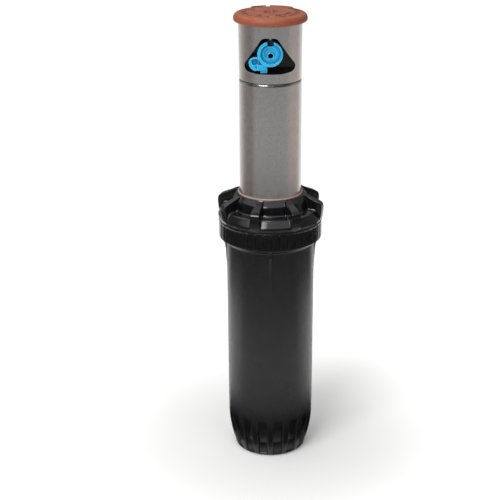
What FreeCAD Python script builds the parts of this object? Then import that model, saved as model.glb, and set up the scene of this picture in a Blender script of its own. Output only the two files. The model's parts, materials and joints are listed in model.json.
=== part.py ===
import FreeCAD, Part
import math
import os
from types import SimpleNamespace

import Sketcher
from FreeCAD import Placement, Rotation, Vector

# Pop-up gear-driven rotor sprinkler, drawn popped up.
# Millimetres. Origin: centre of the inlet's end face. +Z up, the nozzle faces -Y.

doc = FreeCAD.newDocument("PopUpSprinkler")
sheet = doc.addObject("Spreadsheet::Sheet", "Dims")

DIMENSIONS = {
    # travel
    "stroke": 125.5,
    # case
    "inlet_bore_r": 15.2,
    "inlet_depth": 22.5,
    "boss_r": 27.8,
    "case_bore_r": 29.0,
    "case_low_r": 33.1,
    "case_high_r": 33.5,
    "case_taper_z": 36.0,
    "case_top_z": 198.0,
    "thread_root_r": 34.8,
    "flute_low_r": 27.4,
    "flute_top_z": 38.0,
    "flute_width": 7.0,
    "guide_rib_r": 27.9,
    # cap
    "cap_low_z": 178.2,
    "grip_r": 38.9,
    "grip_top_z": 191.9,
    "shoulder_r": 40.1,
    "shoulder_z": 200.3,
    "ledge_z": 203.6,
    "collar_r": 25.3,
    "cap_top_z": 213.1,
    "cap_hole_r": 24.6,
    "cap_bore_r": 36.1,
    "fin_width": 5.0,
    "seal_lip_r": 23.45,
    # riser
    "riser_low_z": 172.9,
    "riser_flange_r": 27.4,
    "riser_bore_r": 20.2,
    "riser_r": 22.5,
    "riser_sleeve_r": 22.95,
    "seam_z": 299.4,
    "spring_mean_r": 25.9,
    "spring_wire": 2.0,
    # drive
    "stator_z": 205.0,
    "stator_thick": 4.0,
    "turbine_z": 215.0,
    "gearbox_z": 223.0,
    "gearbox_r": 16.6,
    "gear_module": 0.5,
    "gear_centres": 8.0,
    "gear_pin_r": 1.0,
    "stem_r": 9.0,
    "stem_bore_r": 7.0,
    "bearing_z": 276.0,
    "output_shaft_r": 4.0,
    "trip_rod_x": 18.2,
    "trip_rod_r": 0.8,
    # arc adjustment
    "arc_module": 0.75,
    "arc_centres": 15.0,
    "arc_gear_z": 286.2,
    "arc_shaft_r": 1.6,
    # turret
    "turret_low_z": 299.7,
    "turret_top_z": 340.6,
    "turret_core_r": 22.35,
    "turret_sleeve_r": 23.15,
    "turret_sleeve_low_r": 22.8,
    "window_low_z": 306.8,
    "window_top_z": 332.6,
    "recess_y": -9.5,
    "nozzle_face_y": -20.6,
    "nozzle_ring_r": 9.15,
    "nozzle_ring_z": 320.8,
    "nozzle_axis_z": 319.2,
    "cover_low_z": 340.8,
    "cover_top_z": 347.4,
    "cover_r": 26.9,
    "radius_screw_y": -18.4,
    "radius_screw_r": 1.5,
}

FIN_COUNT = 8
FIN_TURN = -16.7
GRIP_GROOVES = 40
FLUTES = 16
WINDOW_TURN = -1.5
ARC_SHAFT_ANGLE = 135.0
FIT = 0.06


class Size:
    """A length that carries its value and the sheet expression that gives it."""

    def __init__(self, value, text):
        self.value = float(value)
        self.text = text

    def __add__(self, other):
        return Size(self.value + number(other), f"({self.text} + {words(other)})")

    __radd__ = __add__

    def __sub__(self, other):
        return Size(self.value - number(other), f"({self.text} - {words(other)})")

    def __rsub__(self, other):
        return Size(number(other) - self.value, f"({words(other)} - {self.text})")

    def __mul__(self, other):
        return Size(self.value * number(other), f"({self.text} * {words(other)})")

    __rmul__ = __mul__

    def __neg__(self):
        return Size(-self.value, f"(-1 * {self.text})")


def number(length):
    return length.value if isinstance(length, Size) else float(length)


def words(length):
    return length.text if isinstance(length, Size) else repr(float(length))


def fill_sheet():
    sizes = {}
    for row, (alias, value) in enumerate(DIMENSIONS.items(), start=1):
        sheet.set(f"A{row}", alias)
        sheet.set(f"B{row}", str(value))
        sheet.setAlias(f"B{row}", alias)
        sizes[alias] = Size(value, f"Dims.{alias}")
    doc.recompute()
    return SimpleNamespace(**sizes)


d = fill_sheet()
pieces = []


# ---------------------------------------------------------------- helpers

def bind(obj, prop, length):
    """Sets a property, by an expression when the length comes from the sheet."""
    if isinstance(length, Size):
        obj.setExpression(prop, length.text)
    else:
        setattr(obj, prop, length)


def place(obj, x=0.0, y=0.0, z=0.0, turn=None):
    obj.Placement = Placement(Vector(number(x), number(y), number(z)), turn or Rotation())
    for axis, length in (("x", x), ("y", y), ("z", z)):
        if isinstance(length, Size):
            obj.setExpression(f"Placement.Base.{axis}", length.text)
    return obj


def piece(obj, label, turn=0.0):
    """Names a finished sub-part and turns it about the main axis."""
    obj.Label = label
    if turn:
        obj.Placement = Placement(Vector(), Rotation(Vector(0, 0, 1), turn)) * obj.Placement
    pieces.append(obj)
    return obj


def origin_part(body, role):
    return next(item for item in body.Origin.OriginFeatures if item.Role == role)


def add_outline(sketch, points):
    """Draws a closed outline whose every corner is held by two driven distances."""
    spots = [(number(x), number(y)) for x, y in points]
    count = len(spots)
    for index in range(count):
        start = Vector(*spots[index], 0)
        end = Vector(*spots[(index + 1) % count], 0)
        sketch.addGeometry(Part.LineSegment(start, end), False)
    sketch.addConstraint([
        Sketcher.Constraint("Coincident", index, 2, (index + 1) % count, 1) for index in range(count)
    ])
    for index, (x, y) in enumerate(points):
        hold(sketch, "DistanceX", index, f"x{index}", x)
        hold(sketch, "DistanceY", index, f"y{index}", y)


def hold(sketch, kind, index, name, length):
    """Holds one coordinate of a line's start, measured from the sketch's origin."""
    if abs(number(length)) < 1e-9:
        axis = -2 if kind == "DistanceX" else -1
        sketch.addConstraint(Sketcher.Constraint("PointOnObject", index, 1, axis))
        return
    place_in_list = sketch.addConstraint(Sketcher.Constraint(kind, index, 1, number(length)))
    if isinstance(length, Size):
        sketch.renameConstraint(place_in_list, name)
        sketch.setExpression(f"Constraints.{name}", length.text)


def new_sketch(body, name, role, offset=0.0, turn=0.0):
    """A sketch on an origin plane, moved out along its normal and turned about the main axis."""
    sketch = body.newObject("Sketcher::SketchObject", name)
    sketch.AttachmentSupport = (origin_part(body, role), [""])
    sketch.MapMode = "FlatFace"
    angle = math.radians(turn)
    out = number(offset)
    base = Vector(0, 0, out)
    if role == "YZ_Plane":
        base = Vector(out * math.sin(angle), 0, out * math.cos(angle))
    spin = Vector(0, 0, 1) if role == "XY_Plane" else Vector(0, 1, 0)
    sketch.AttachmentOffset = Placement(base, Rotation(spin, turn))
    return sketch


def turned(name, outline):
    """A solid of revolution: the outline lists (radius, height) corners."""
    body = doc.addObject("PartDesign::Body", name)
    sketch = new_sketch(body, name + "_profile", "XZ_Plane")
    add_outline(sketch, outline)
    solid = body.newObject("PartDesign::Revolution", name + "_turned")
    solid.Profile = sketch
    solid.ReferenceAxis = (sketch, ["V_Axis"])
    solid.Angle = 360.0
    sketch.Visibility = False
    doc.recompute()
    return body


def ring(name, inner, outer, low, high):
    return turned(name, [(inner, low), (outer, low), (outer, high), (inner, high)])


def around(body, feature, count):
    """Repeats the body's last feature evenly about the main axis."""
    pattern = body.newObject("PartDesign::PolarPattern", feature.Name + "_around")
    pattern.Originals = [feature]
    pattern.Axis = (origin_part(body, "Z_Axis"), [""])
    pattern.Angle = 360.0
    pattern.Occurrences = count
    body.Tip = pattern
    doc.recompute()


def ribs(body, name, outline, width, count):
    """Radial ribs: the outline is drawn in the (radius, height) plane."""
    before = body.Shape.Volume
    sketch = new_sketch(body, name + "_profile", "XZ_Plane")
    add_outline(sketch, outline)
    rib = body.newObject("PartDesign::Pad", name)
    rib.Profile = sketch
    rib.Midplane = True
    bind(rib, "Length", width)
    doc.recompute()
    around(body, rib, count)
    assert body.Shape.Volume > before, name


def slots(body, name, outline, width, count, turn=0.0):
    """Radial slots of a given width: the outline is drawn in the (radius, height) plane."""
    before = body.Shape.Volume
    sketch = new_sketch(body, name + "_profile", "XZ_Plane", 0.0, turn)
    add_outline(sketch, outline)
    slot = body.newObject("PartDesign::Pocket", name)
    slot.Profile = sketch
    slot.Midplane = True
    bind(slot, "Length", width)
    doc.recompute()
    around(body, slot, count)
    assert body.Shape.Volume < before, name


def side_pockets(body, name, outline, floor, depth, count, turn=0.0):
    """Pockets cut outwards from a flat floor at a given radius: outline in (tangent, height)."""
    before = body.Shape.Volume
    sketch = new_sketch(body, name + "_profile", "YZ_Plane", floor, turn)
    add_outline(sketch, outline)
    pocket = body.newObject("PartDesign::Pocket", name)
    pocket.Profile = sketch
    pocket.Length = depth
    pocket.Reversed = True
    doc.recompute()
    around(body, pocket, count)
    assert body.Shape.Volume < before, name


def cylinder(name, radius, height, x=0.0, y=0.0, z=0.0, turn=None):
    obj = doc.addObject("Part::Cylinder", name)
    bind(obj, "Radius", radius)
    bind(obj, "Height", height)
    return place(obj, x, y, z, turn)


def cone(name, low_r, high_r, height, x=0.0, y=0.0, z=0.0, turn=None):
    obj = doc.addObject("Part::Cone", name)
    bind(obj, "Radius1", low_r)
    bind(obj, "Radius2", high_r)
    bind(obj, "Height", height)
    return place(obj, x, y, z, turn)


def box(name, length, width, height, x=0.0, y=0.0, z=0.0, turn=None):
    obj = doc.addObject("Part::Box", name)
    bind(obj, "Length", length)
    bind(obj, "Width", width)
    bind(obj, "Height", height)
    return place(obj, x, y, z, turn)


def swung(angle, radius, lift):
    """Position at an angle about the main axis."""
    turn = math.radians(angle)
    return radius * math.cos(turn), radius * math.sin(turn), lift


def joined(name, parts):
    obj = doc.addObject("Part::MultiFuse", name)
    obj.Shapes = parts
    doc.recompute()
    return obj


def cut(name, base, tools):
    """Takes the tools away from the base."""
    doc.recompute()
    before = base.Shape.Volume
    obj = doc.addObject("Part::Cut", name)
    obj.Base = base
    obj.Tool = tools[0] if len(tools) == 1 else joined(name + "_tools", tools)
    doc.recompute()
    assert obj.Shape.Volume < before, name
    return obj


def coil(name, mean_r, wire, pitch, height, x=0.0, y=0.0, z=0.0):
    """A round-wire helical spring about a vertical axis."""
    spine = doc.addObject("Part::Helix", name + "_spine")
    bind(spine, "Radius", mean_r)
    spine.Pitch = pitch
    spine.Height = height
    section = doc.addObject("Part::Circle", name + "_section")
    bind(section, "Radius", wire * 0.5)
    section.Placement = Placement(Vector(number(mean_r), 0, 0), Rotation(Vector(1, 0, 0), 90))
    sweep = doc.addObject("Part::Sweep", name)
    sweep.Sections = [section]
    sweep.Spine = (spine, ["Edge1"])
    sweep.Solid = True
    sweep.Frenet = True
    place(sweep, x, y, z)
    doc.recompute()
    turns = height / pitch
    length = turns * math.hypot(2 * math.pi * number(mean_r), pitch)
    expected = length * math.pi * (number(wire) / 2) ** 2
    assert abs(sweep.Shape.Volume - expected) < 0.03 * expected, name
    return sweep


def gear(name, teeth, module, bore, low, width):
    """A spur gear about the main axis, with its first tooth on +X."""
    pitch_r = module * (teeth / 2)
    root_r = pitch_r - module * 1.2
    tip_r = pitch_r + module * 0.9
    root_half = module * 0.92
    tip_half = module * 0.34
    body = ring(name, bore, root_r, low, low + width)
    sketch = new_sketch(body, name + "_tooth_profile", "XY_Plane", low)
    sketch.setExpression("AttachmentOffset.Base.z", words(low))
    base_r = root_r - module * 0.3
    add_outline(sketch, [(base_r, -root_half), (base_r, root_half), (tip_r, tip_half), (tip_r, -tip_half)])
    tooth = body.newObject("PartDesign::Pad", name + "_tooth")
    tooth.Profile = sketch
    bind(tooth, "Length", width)
    doc.recompute()
    around(body, tooth, teeth)
    return body


def rounded_prism(name, corners, radius, near_y, far_y, turn):
    """A prism along Y whose (x, z) outline has rounded corners, turned about the main axis."""
    inner = [Vector(x, near_y, z) for x, z in corners]
    wire = Part.makePolygon(inner + [inner[0]])
    face = Part.Face(wire.makeOffset2D(radius, 0, False, False, False))
    obj = doc.addObject("Part::Feature", name)
    obj.Shape = face.extrude(Vector(0, far_y - near_y, 0))
    obj.Placement = Placement(Vector(), Rotation(Vector(0, 0, 1), turn))
    return obj


ALONG_Y = Rotation(Vector(1, 0, 0), -90)


# ---------------------------------------------------------------- case and cap

THREAD_PITCH = 4.4
THREAD_RIDGES = 4
RIDGE_FOOT = 1.0
RIDGE_CREST = 0.45


def ridge_points(root, crest, first_z):
    """Corners of the coarse ridges that stand in for the cap's screw thread."""
    points = []
    for index in range(THREAD_RIDGES):
        middle = first_z + THREAD_PITCH * index
        points += [(root, middle - RIDGE_FOOT), (crest, middle - RIDGE_CREST)]
        points += [(crest, middle + RIDGE_CREST), (root, middle + RIDGE_FOOT)]
    return points


def make_case():
    outside = [
        (d.inlet_bore_r + 1.0, 0), (d.boss_r - 1.2, 0), (d.boss_r, 0.9), (29.0, 4.2),
        (30.9, 12.4), (32.2, 19.5), (32.9, 27.0), (d.case_low_r, d.case_taper_z),
        (d.case_high_r, 166.2), (d.case_high_r, 174.2), (d.thread_root_r, 175.8),
    ]
    threads = ridge_points(d.thread_root_r, d.thread_root_r + 1.0, d.cap_low_z + 3.4)
    inside = [
        (d.thread_root_r, d.case_top_z), (d.case_bore_r, d.case_top_z),
        (d.case_bore_r, d.case_taper_z), (24.5, 32.0), (24.5, 28.0), (16.5, 28.0), (16.5, 31.7),
        (13.5, 31.7), (13.5, d.inlet_depth + 1.6), (d.inlet_bore_r, d.inlet_depth),
        (d.inlet_bore_r, 1.0),
    ]
    case = turned("case_body", outside + threads + inside)
    gusset = [
        (32.6, 162.7), (34.0, 163.6), (34.6, 170.7), (38.4, 177.0), (38.4, 177.9), (32.6, 177.9),
    ]
    ribs(case, "case_gusset", gusset, 2.2, 4)
    guide = [(d.guide_rib_r, 38.0), (30.0, 38.0), (30.0, d.case_top_z - 2), (d.guide_rib_r, d.case_top_z - 2)]
    ribs(case, "case_guide_rib", guide, 2.0, 4)
    flute = [
        (d.flute_low_r - 0.4, 2.0), (45.0, 2.0), (45.0, d.flute_top_z),
        (d.case_low_r + 0.7, d.flute_top_z), (d.flute_low_r, 13.0),
    ]
    slots(case, "case_flute", flute, d.flute_width, FLUTES, 360.0 / FLUTES / 2)
    piece(case, "case")


def make_cap():
    outside = [
        (d.cap_bore_r, d.cap_low_z), (d.grip_r - 0.6, d.cap_low_z), (d.grip_r, d.cap_low_z + 0.6),
        (d.grip_r, d.grip_top_z), (39.3, 195.1), (d.shoulder_r, d.shoulder_z), (39.7, 201.5),
        (36.2, d.ledge_z), (29.9, d.ledge_z + 0.1), (28.7, 208.7), (d.collar_r, d.cap_top_z),
        (d.cap_hole_r, d.cap_top_z), (d.cap_hole_r, 205.3), (28.2, 205.3), (28.2, 199.6),
        (d.cap_bore_r, 199.6),
    ]
    crest = d.cap_bore_r - 1.0
    threads = ridge_points(d.cap_bore_r, crest, d.cap_low_z + 3.4 + THREAD_PITCH / 2)
    cap = turned("cap_body", outside + threads[::-1])
    fin = [
        (25.0, d.cap_top_z - 0.2), (26.6, d.cap_top_z - 0.2), (30.6, 211.0), (38.9, 207.5),
        (40.4, 206.0), (41.0, 203.6), (40.9, 199.4), (39.2, 199.2), (34.0, 201.4), (29.2, 202.0),
        (28.0, 207.5),
    ]
    ribs(cap, "cap_fin", fin, d.fin_width, FIN_COUNT)
    groove = [(-0.6, 179.2), (0.6, 179.2), (0.6, d.grip_top_z - 0.6), (-0.6, d.grip_top_z - 0.6)]
    side_pockets(cap, "cap_grip_groove", groove, d.grip_r - 0.8, 3.0, GRIP_GROOVES)
    piece(cap, "body_cap", FIN_TURN)


def make_cap_seals():
    lip = d.seal_lip_r
    outline = [
        (lip, 202.2), (27.9, 202.2), (27.9, 205.1), (24.5, 205.1), (24.5, d.cap_top_z + 0.2),
        (24.2, d.cap_top_z + 0.6), (lip + 0.3, d.cap_top_z + 0.9), (lip, d.cap_top_z + 0.5),
    ]
    piece(turned("seal_body", outline), "wiper_seal")
    o_ring = doc.addObject("Part::Torus", "o_ring_body")
    o_ring.Radius1 = 31.5
    o_ring.Radius2 = 0.7
    place(o_ring, z=d.case_top_z + 0.8)
    piece(o_ring, "cap_o_ring")
    spring = coil("spring_body", d.spring_mean_r, d.spring_wire, 2.4, 19.2, z=181.35)
    piece(spring, "retraction_spring")


# ---------------------------------------------------------------- riser

def make_ratchet_ring():
    low = d.riser_low_z + 3.5
    body = ring("ratchet_body", 23.6, 28.5, low, low + 3.7)
    notch = [(-1.5, low - 1), (1.5, low - 1), (1.5, low + 5), (-1.5, low + 5)]
    side_pockets(body, "ratchet_notch", notch, d.guide_rib_r - 0.5, 5.0, 4)
    piece(body, "ratchet_ring")


def make_riser_shell():
    low = d.riser_low_z
    tube = [
        (d.riser_bore_r, low), (d.riser_flange_r, low), (d.riser_flange_r, low + 3.3),
        (d.riser_r, low + 3.3), (d.riser_r, d.seam_z - 0.5), (d.riser_bore_r, d.seam_z - 0.5),
    ]
    piece(turned("riser_tube_body", tube), "riser_tube")
    sleeve = ring("riser_sleeve_body", d.riser_r + 0.02, d.riser_sleeve_r, low + 3.4, d.seam_z - 0.3)
    piece(sleeve, "riser_sleeve")


def make_filter_and_seal():
    low = d.riser_low_z - 1.1
    wall_r = d.riser_bore_r - 0.4
    basket = [
        (0, low), (wall_r, low), (wall_r, low + 28), (wall_r - 1.4, low + 28),
        (wall_r - 1.4, low + 1.4), (0, low + 1.4),
    ]
    body = turned("filter_body", basket)
    slot = [(-1.3, low + 4), (1.3, low + 4), (1.3, low + 25), (-1.3, low + 25)]
    side_pockets(body, "filter_slot", slot, wall_r - 3.0, 5.0, 24)
    hole = cylinder("filter_pin_hole", 2.0, 6.0, z=low - 1)
    piece(cut("filter_drilled", body, [hole]), "filter_screen")
    piece(ring("drain_seal_body", 2.0, 20.5, low - 2.2, low - 0.2), "drain_seal")
    retainer = [
        (0, low - 3.6), (4.0, low - 3.6), (5.0, low - 3.0), (5.0, low - 2.3), (1.9, low - 2.3),
        (1.9, low + 1.6), (2.7, low + 1.9), (1.6, low + 4.0), (0, low + 4.0),
    ]
    piece(turned("retainer_body", retainer), "seal_retainer")


PORT_COUNT = 6
PORT_RADIUS = 11.5


def make_stator():
    low = d.stator_z
    high = low + d.stator_thick
    plate = ring("stator_plate", 2.06, d.riser_bore_r - 0.05, low, high)
    tools = []
    for index in range(PORT_COUNT):
        x, y, z = swung(60 * index + 30, PORT_RADIUS, low - 1)
        tools.append(cylinder(f"jet_port_{index}", 2.0, d.stator_thick + 2, x, y, z))
        x, y, z = swung(60 * index, 4.4, low - 1)
        tools.append(cylinder(f"bypass_port_{index}", 1.2, d.stator_thick + 2, x, y, z))
    piece(cut("stator_drilled", plate, tools), "stator")
    poppet = [
        (0, low - 8.2), (4.4, low - 8.2), (4.4, low - 7.0), (2.0, low - 7.0), (2.0, high + 0.1),
        (6.4, high + 0.1), (5.6, high + 1.9), (0, high + 2.4),
    ]
    piece(turned("poppet_body", poppet), "bypass_poppet")
    spring = coil("bypass_spring_body", 3.2, 0.7, 1.3, 5.2, z=low - 6.45)
    piece(spring, "bypass_spring")
    plate_low = high + 0.25
    swing_plate = ring("port_plate_body", 7.2, 17.0, plate_low, plate_low + 1.2)
    tools = []
    for index in range(PORT_COUNT):
        x, y, z = swung(60 * index + 30, PORT_RADIUS, plate_low - 1)
        tools.append(cylinder(f"plate_port_{index}", 1.7, 4.0, x, y, z))
    tools.append(box("plate_crank_slot", 3.2, 1.1, 4.0, 12.6, -0.55, plate_low - 1))
    piece(cut("port_plate_cut", swing_plate, tools), "port_plate")


def make_trip_mechanism():
    crank_low = d.stator_z + d.stator_thick + 1.7
    lever_low = d.bearing_z + 5.5
    rod_x = d.trip_rod_x
    rod_length = lever_low + 2.0 - crank_low
    piece(cylinder("trip_rod_body", d.trip_rod_r, rod_length, rod_x, 0, crank_low), "trip_rod")
    crank = joined("trip_crank_solid", [
        cylinder("crank_hub", 1.6, 1.4, rod_x, 0, crank_low),
        box("crank_arm", 4.2, 1.6, 1.4, rod_x - 4.2, -0.8, crank_low),
        cylinder("crank_peg", 0.45, 1.6, rod_x - 4.0, 0, crank_low - 1.3),
    ])
    crank_bore = cylinder("crank_bore", d.trip_rod_r, 3.0, rod_x, 0, crank_low - 1)
    piece(cut("trip_crank_cut", crank, [crank_bore]), "trip_crank")
    lever = joined("trip_lever_solid", [
        cylinder("lever_hub", 1.6, 2.0, rod_x, 0, lever_low),
        box("lever_arm", 4.6, 1.8, 2.0, rod_x - 4.6, -0.9, lever_low),
    ])
    lever_bore = cylinder("lever_bore", d.trip_rod_r, 4.0, rod_x, 0, lever_low - 1)
    piece(cut("trip_lever_cut", lever, [lever_bore]), "trip_lever")


# ---------------------------------------------------------------- drive

BLADES = 12


def make_turbine():
    low = d.turbine_z
    hub = ring("turbine_hub", d.gear_pin_r, 4.2, low, low + 6.5)
    band = ring("turbine_band", 12.6, 13.6, low + 0.5, low + 6.0)
    blades = []
    for index in range(BLADES):
        angle = 360.0 / BLADES * index
        pitch = Rotation(Vector(0, 0, 1), angle) * Rotation(Vector(1, 0, 0), 35)
        x, y, z = swung(angle, 3.8, low + 3.25)
        blade = box(f"turbine_blade_{index}", 9.2, 0.8, 5.4)
        centre = Vector(x, y, number(z)) - pitch.multVec(Vector(0, 0.4, 2.7))
        blade.Placement = Placement(centre, pitch)
        blades.append(blade)
    piece(joined("turbine_solid", [hub, band] + blades), "turbine_rotor")
    shaft = cylinder("turbine_shaft_body", d.gear_pin_r, 27.0, z=low - 0.6)
    piece(shaft, "turbine_shaft")
    pinion = gear("pinion_body", 8, d.gear_module, d.gear_pin_r, d.gearbox_z + 3.0, 4.2)
    piece(pinion, "turbine_pinion")


def cluster(name, low, big_width, small_width, bore):
    """A 24-tooth wheel with an 8-tooth pinion moulded on top of it."""
    wheel = gear(name + "_wheel", 24, d.gear_module, bore, low, big_width)
    pinion = gear(name + "_pinion", 8, d.gear_module, bore, low + big_width, small_width)
    return wheel, pinion


def make_gear_train():
    base = d.gearbox_z
    bore = d.gear_pin_r + FIT
    levels = {1: (3.6, 2.8, 4.0), 2: (7.6, 2.6, 4.0), 3: (11.0, 2.6, 4.6)}
    for index, (rise, big_width, small_width) in levels.items():
        name = f"cluster_{index}"
        wheel, pinion = cluster(name, base + rise, big_width, small_width, bore)
        if index != 2:
            half_wheel = Rotation(Vector(0, 0, 1), 7.5)
            half_pinion = Rotation(Vector(0, 0, 1), 22.5)
            place(wheel, d.gear_centres, 0, 0, half_wheel)
            place(pinion, d.gear_centres, 0, 0, half_pinion)
        piece(joined(name + "_solid", [wheel, pinion]), f"cluster_gear_{index}")
    piece(gear("output_gear_body", 24, d.gear_module, bore, base + 14.8, 2.8), "output_gear")
    pin = cylinder("gear_pin_body", d.gear_pin_r, 18.4, d.gear_centres, 0, base + 0.8)
    piece(pin, "gear_pin")


def make_gearbox():
    base = d.gearbox_z
    outer = d.gearbox_r
    inner = outer - 1.4
    cup = [
        (d.gear_pin_r + FIT, base - 0.5), (3.0, base - 0.5), (3.0, base), (outer, base),
        (outer, base + 19.5), (inner, base + 19.5), (inner, base + 2), (d.gear_pin_r + FIT, base + 2),
    ]
    body = turned("gearbox_body", cup)
    leg = [(inner + 0.3, base + 3), (d.riser_bore_r - 0.05, base + 3), (d.riser_bore_r - 0.05, base + 19.5),
           (inner + 0.3, base + 19.5)]
    ribs(body, "gearbox_leg", leg, 1.6, 3)
    body.Placement = Placement(Vector(), Rotation(Vector(0, 0, 1), 60))
    pin_hole = cylinder("gearbox_pin_hole", d.gear_pin_r, 3.0, d.gear_centres, 0, base + 0.8)
    piece(cut("gearbox_drilled", body, [pin_hole]), "gear_housing")
    lid = ring("gearbox_lid_body", d.output_shaft_r + FIT, outer, base + 19.5, base + 22)
    piece(lid, "gear_housing_cover")


def make_output():
    low = d.gearbox_z + 17.7
    top = 295.0
    shaft = [
        (d.gear_pin_r + FIT, low), (d.output_shaft_r, low), (d.output_shaft_r, top), (0, top),
        (0, low + 1.6), (d.gear_pin_r + FIT, low + 1.6),
    ]
    piece(turned("output_shaft_body", shaft), "output_shaft")
    spider = ring("spider_hub", d.output_shaft_r, 5.0, 288.0, 294.0)
    vane_r = d.stem_bore_r - 0.1
    vane = [(4.4, 288.0), (vane_r, 288.0), (vane_r, 294.0), (4.4, 294.0)]
    ribs(spider, "spider_vane", vane, 1.4, 3)
    piece(spider, "drive_spider")


def make_bearing():
    low = d.bearing_z
    plate = ring("bearing_body", d.stem_r + FIT, d.riser_bore_r - 0.05, low, low + 4)
    rod_hole = cylinder("bearing_rod_hole", d.trip_rod_r + FIT, 6.0, d.trip_rod_x, 0, low - 1)
    piece(cut("bearing_drilled", plate, [rod_hole]), "bearing_plate")
    piece(ring("washer_body", d.stem_r + 0.3, 13.0, low + 4.05, low + 4.75), "thrust_washer")
    clip = ring("clip_body", d.stem_r, 11.6, low - 3.0, low - 0.6)
    piece(clip, "stem_retainer")


ARC_TEETH = 32
ARC_PINION_TEETH = 8


def make_arc_adjustment():
    low = d.arc_gear_z
    inner = d.stem_r + 0.3
    wheel = gear("arc_wheel", ARC_TEETH, d.arc_module, inner, low - 0.4, 3.2)
    tab_tool = ring("arc_tab_ring", 10.4, 16.4, low - 2.4, low - 0.4)
    tab_slab = box("arc_tab_slab", 8.0, 3.0, 2.0, 9.8, -1.5, low - 2.4)
    tab = doc.addObject("Part::Common", "arc_tab")
    tab.Base = tab_tool
    tab.Tool = tab_slab
    doc.recompute()
    tab.Placement = Placement(Vector(), Rotation(Vector(0, 0, 1), 45))
    piece(joined("arc_ring_solid", [wheel, tab]), "arc_ring")

    x, y, _ = swung(ARC_SHAFT_ANGLE, number(d.arc_centres), 0)
    shaft = cylinder("arc_shaft_rod", d.arc_shaft_r, 342.6 - low, x, y, low)
    head = cylinder("arc_shaft_head", 2.4, 2.4, x, y, 342.6)
    slot = box("arc_shaft_slot", 6.0, 0.8, 1.4, x - 3.0, y - 0.4, 343.9)
    piece(cut("arc_shaft_cut", joined("arc_shaft_solid", [shaft, head]), [slot]), "arc_shaft")
    pinion = gear("arc_pinion_body", ARC_PINION_TEETH, d.arc_module, d.arc_shaft_r, low, 3.0)
    place(pinion, x, y, 0, Rotation(Vector(0, 0, 1), 180.0 / ARC_PINION_TEETH))
    piece(pinion, "arc_pinion")


# ---------------------------------------------------------------- turret

def window_tool(name, grow, near_y, far_y):
    """The rounded triangle of the nozzle window, grown outwards by a margin."""
    rounding = 4.2
    low = number(d.window_low_z) + rounding
    high = number(d.window_top_z) - rounding
    corners = [(-14.0, low + 0.8), (-8.5, low), (8.5, low), (14.0, low + 0.8), (3.0, high), (-3.0, high)]
    return rounded_prism(name, corners, rounding + grow, near_y, far_y, WINDOW_TURN)


def make_turret_housing():
    low = d.turret_low_z
    top = d.turret_top_z
    outline = [
        (d.stem_bore_r, 270.0), (d.stem_r, 270.0), (d.stem_r, low + 0.2), (d.turret_core_r, low + 0.2),
        (d.turret_core_r, top), (0, top), (0, 328.0), (d.stem_bore_r, 323.0),
    ]
    body = turned("turret_body", outline)
    x, y, _ = swung(ARC_SHAFT_ANGLE, number(d.arc_centres), 0)
    tools = [
        window_tool("turret_recess", 0.4, -26.0, number(d.recess_y)),
        cylinder("nozzle_socket", 7.6, 13.0, *swung(270 + WINDOW_TURN, 12.0, d.nozzle_axis_z),
                 Rotation(Vector(0, 0, 1), WINDOW_TURN) * ALONG_Y),
        cylinder("screw_bore", d.radius_screw_r + FIT, 14.0, 0, d.radius_screw_y, 330.0),
        cylinder("arc_bore", d.arc_shaft_r + FIT, 50.0, x, y, low - 1),
    ]
    piece(cut("turret_cut", body, tools), "turret_housing")
    inner = d.turret_core_r + 0.02
    sleeve = turned("turret_sleeve_body", [
        (inner, low), (d.turret_sleeve_low_r, low), (d.turret_sleeve_r, top), (inner, top),
    ])
    window = window_tool("sleeve_window", 0.0, -26.0, -5.0)
    piece(cut("turret_sleeve_cut", sleeve, [window]), "turret_sleeve")


def make_nozzle():
    face = d.nozzle_face_y
    z0 = d.nozzle_ring_z
    axis = d.nozzle_axis_z
    solid = joined("nozzle_solid", [
        cylinder("nozzle_ring", d.nozzle_ring_r, 9.6, 0.4, face, z0, ALONG_Y),
        cylinder("nozzle_barrel", 7.2, 17.0, 0, -16.5, axis, ALONG_Y),
        cylinder("nozzle_lobe", 4.95, 8.2, -10.1, face + 1.2, 313.6, ALONG_Y),
        box("nozzle_foot", 4.8, 8.0, 6.2, -6.5, face + 0.6, 306.9),
        box("nozzle_web", 8.4, 7.0, 7.4, -10.1, face + 1.2, 308.9),
    ])
    tools = [
        cone("nozzle_dish", 7.0, 3.6, 3.2, 0.4, face - 0.01, z0, ALONG_Y),
        cylinder("nozzle_jet", 1.8, 40.0, 0.2, -30.0, axis, ALONG_Y),
        box("nozzle_slot", 3.9, 4.4, 12.0, -1.6, face - 1, z0 + 6.0),
        cylinder("nozzle_port", 2.3, 4.0, -10.7, face, 314.9, ALONG_Y),
        box("nozzle_flat", 20.0, 14.0, 4.0, -1.7, face - 1, 307.6),
    ]
    trimmed = doc.addObject("Part::Common", "nozzle_trimmed")
    trimmed.Base = cut("nozzle_cut", solid, tools)
    trimmed.Tool = cylinder("nozzle_envelope", d.turret_core_r - 0.3, 40.0, z=302.0)
    doc.recompute()
    piece(trimmed, "nozzle", WINDOW_TURN)


def edge_bar(name, first, sweep, low):
    """A raised bar along the back of the cover's rim, from one angle over a sweep."""
    bars = []
    for part, radius in (("outer", d.cover_r - 2.6), ("inner", d.cover_r - 4.2)):
        sector = cylinder(f"{name}_{part}", radius, 3.2, z=low + 4.2, turn=Rotation(Vector(0, 0, 1), first))
        sector.Angle = sweep
        bars.append(sector)
    return cut(name, bars[0], bars[1:])


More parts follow.
